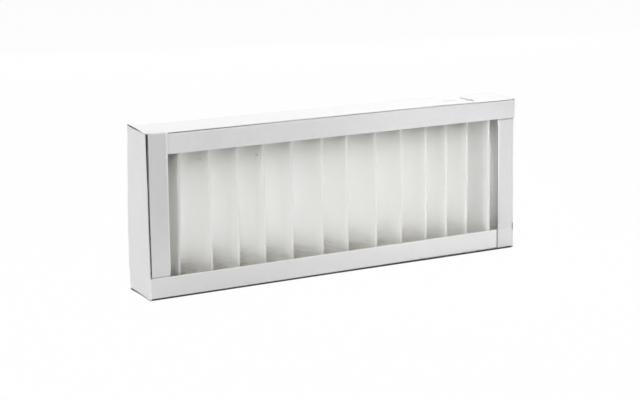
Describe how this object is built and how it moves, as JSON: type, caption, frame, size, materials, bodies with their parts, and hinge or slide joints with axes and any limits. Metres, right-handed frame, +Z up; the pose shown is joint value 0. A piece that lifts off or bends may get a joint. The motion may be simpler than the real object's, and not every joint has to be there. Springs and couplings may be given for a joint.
{
  "type": "pollen filter",
  "caption": "Flat rectangular pleated air filter: a white nonwoven sheet in deep folds, glued in a thin frame of folded white card.",
  "frame": {"origin": "on the resting face, below the middle of the frame", "axes": "+X along the filter, +Y from the front face to the back face, +Z up"},
  "size_m": [0.4, 0.048, 0.155],
  "materials": {
    "card": "smooth white coated card",
    "nonwoven": "white fluffy nonwoven",
    "glue": "set hot-melt glue"
  },
  "bodies": {
    "root": {"top_board": "card", "left_board": "card", "bottom_board": "card", "right_board": "card", "pleated_medium": "nonwoven", "top_glue_bed": "glue", "bottom_glue_bed": "glue", "left_glue_strip": "glue", "right_glue_strip": "glue"}
  },
  "joints": []
}
